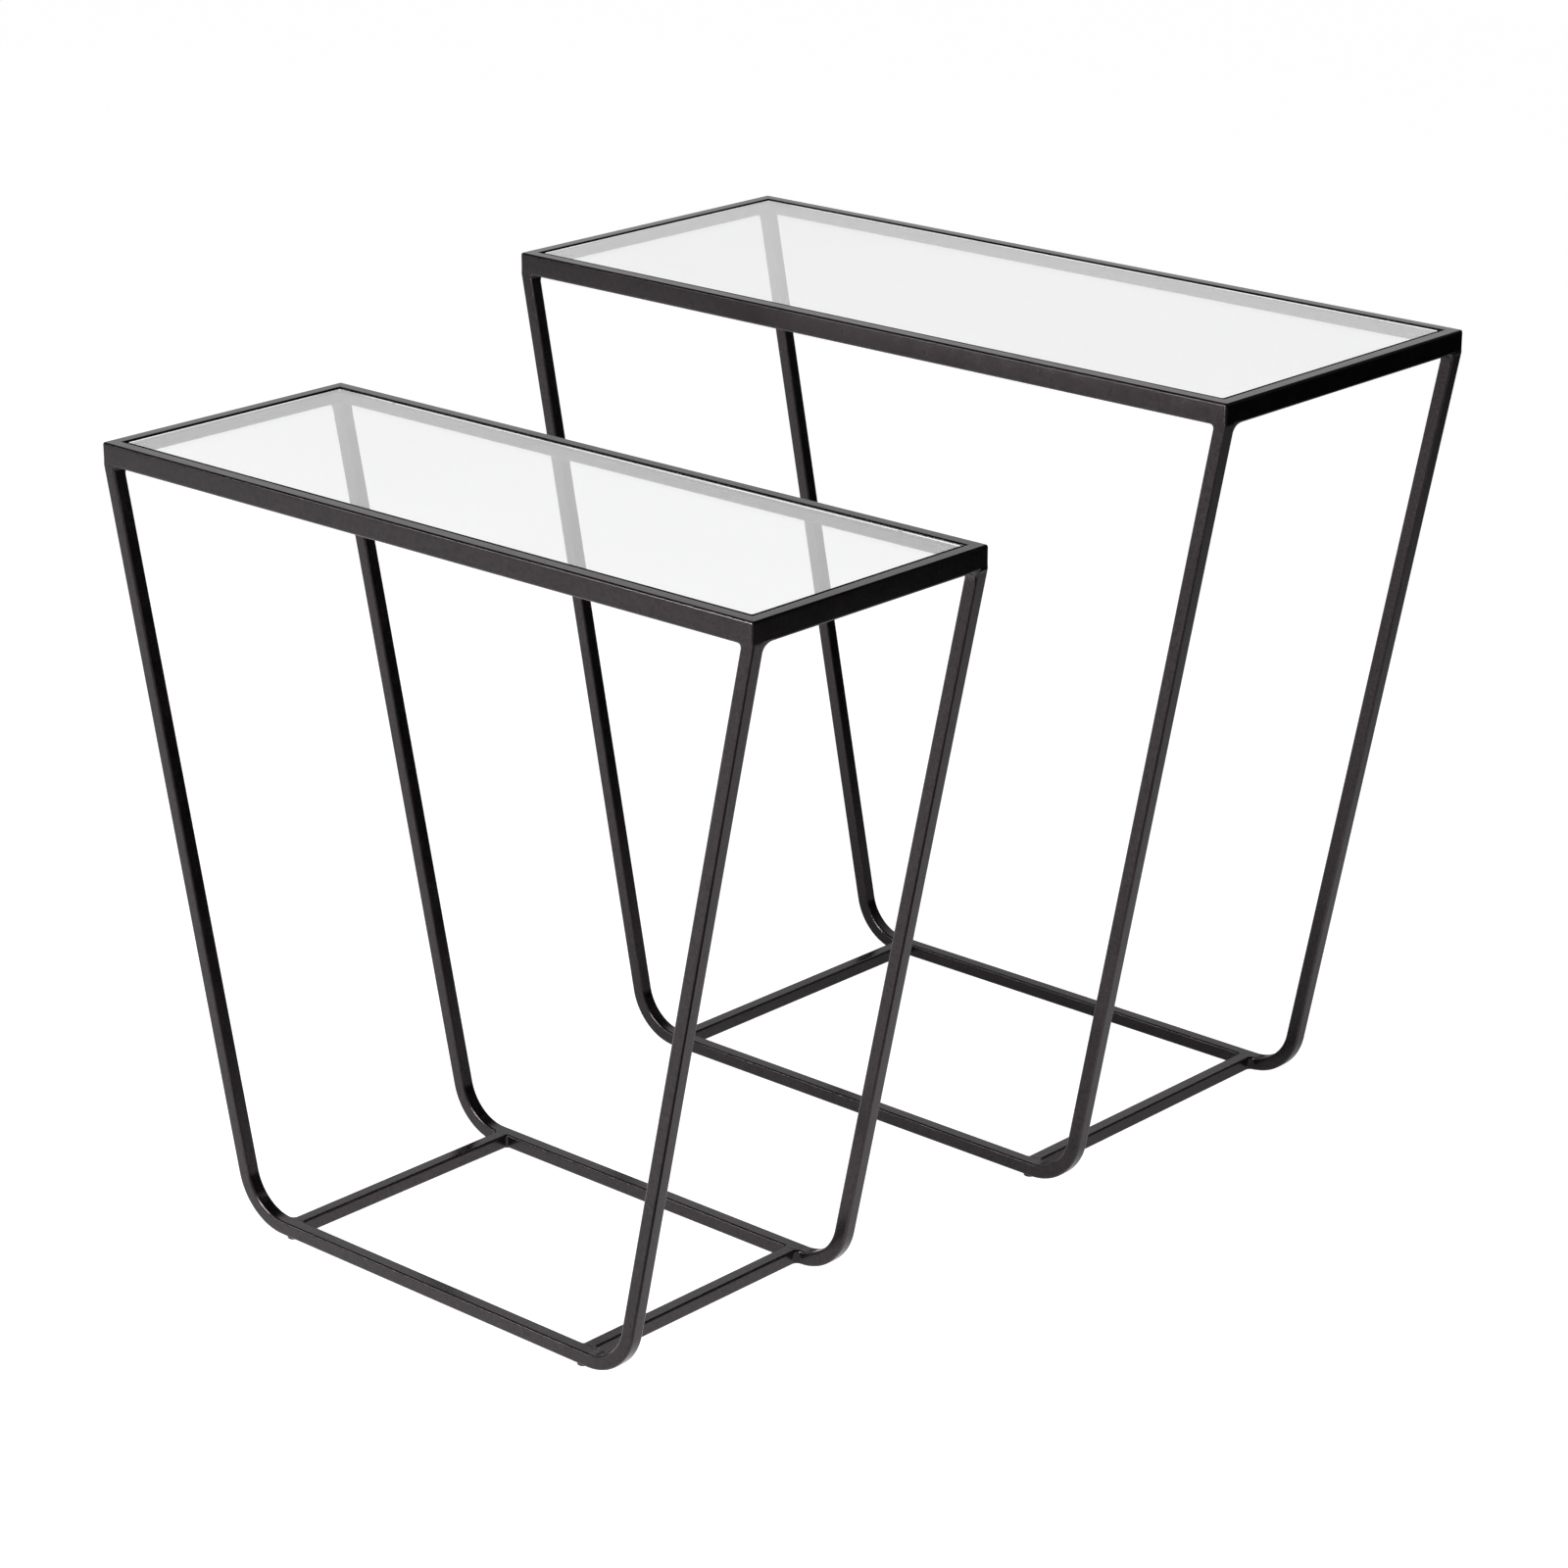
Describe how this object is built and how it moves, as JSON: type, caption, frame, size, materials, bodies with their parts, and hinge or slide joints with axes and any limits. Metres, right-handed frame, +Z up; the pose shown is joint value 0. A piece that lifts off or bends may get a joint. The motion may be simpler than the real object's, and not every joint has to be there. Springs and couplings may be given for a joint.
{
  "type": "nesting tables",
  "caption": "Pair of slim nesting side tables with bent square-bar steel legs, welded top frames and inset clear glass tops; the smaller slides in under the larger.",
  "frame": {"origin": "on the floor, in the middle of the box around both tables as they stand apart", "axes": "+Z up; +Y from the small table in front to the large table behind; +X along the tables' long sides, to the right seen from the front"},
  "size_m": [0.6, 0.64, 0.55],
  "materials": {
    "blackened_steel": "matt black-brown powder coat with a faint mottle",
    "clear_glass": "clear float glass with polished edges",
    "clear_silicone": "translucent silicone",
    "black_rubber": "matt rubber"
  },
  "bodies": {
    "large_table": {"large_top_rail_front": "blackened_steel", "large_top_rail_right": "blackened_steel", "large_top_rail_back": "blackened_steel", "large_top_rail_left": "blackened_steel", "large_leg_frame_front": "blackened_steel", "large_leg_frame_back": "blackened_steel", "large_cross_rail_left": "blackened_steel", "large_cross_rail_right": "blackened_steel", "large_ledge_front": "blackened_steel", "large_ledge_right": "blackened_steel", "large_ledge_back": "blackened_steel", "large_ledge_left": "blackened_steel", "large_bumper_front_left": "clear_silicone", "large_bumper_front_right": "clear_silicone", "large_bumper_back_right": "clear_silicone", "large_bumper_back_left": "clear_silicone", "large_floor_pad_front_left": "black_rubber", "large_floor_pad_front_right": "black_rubber", "large_floor_pad_back_right": "black_rubber", "large_floor_pad_back_left": "black_rubber"},
    "small_table": {"small_top_rail_front": "blackened_steel", "small_top_rail_right": "blackened_steel", "small_top_rail_back": "blackened_steel", "small_top_rail_left": "blackened_steel", "small_leg_frame_front": "blackened_steel", "small_leg_frame_back": "blackened_steel", "small_cross_rail_left": "blackened_steel", "small_cross_rail_right": "blackened_steel", "small_ledge_front": "blackened_steel", "small_ledge_right": "blackened_steel", "small_ledge_back": "blackened_steel", "small_ledge_left": "blackened_steel", "small_bumper_front_left": "clear_silicone", "small_bumper_front_right": "clear_silicone", "small_bumper_back_right": "clear_silicone", "small_bumper_back_left": "clear_silicone", "small_floor_pad_front_left": "black_rubber", "small_floor_pad_front_right": "black_rubber", "small_floor_pad_back_right": "black_rubber", "small_floor_pad_back_left": "black_rubber"},
    "large_glass": {"large_glass_pane": "clear_glass"},
    "small_glass": {"small_glass_pane": "clear_glass"}
  },
  "joints": [
    {"name": "small_table_nest", "type": "slide", "parent": "large_table", "child": "small_table", "axis": [0, 0.9979, 0.0649], "range_m": [0, 0.4159]},
    {"name": "large_glass_lift", "type": "slide", "parent": "large_table", "child": "large_glass", "axis": [0, 0, 1], "range_m": [0, 0.015]},
    {"name": "small_glass_lift", "type": "slide", "parent": "small_table", "child": "small_glass", "axis": [0, 0, 1], "range_m": [0, 0.015]}
  ]
}
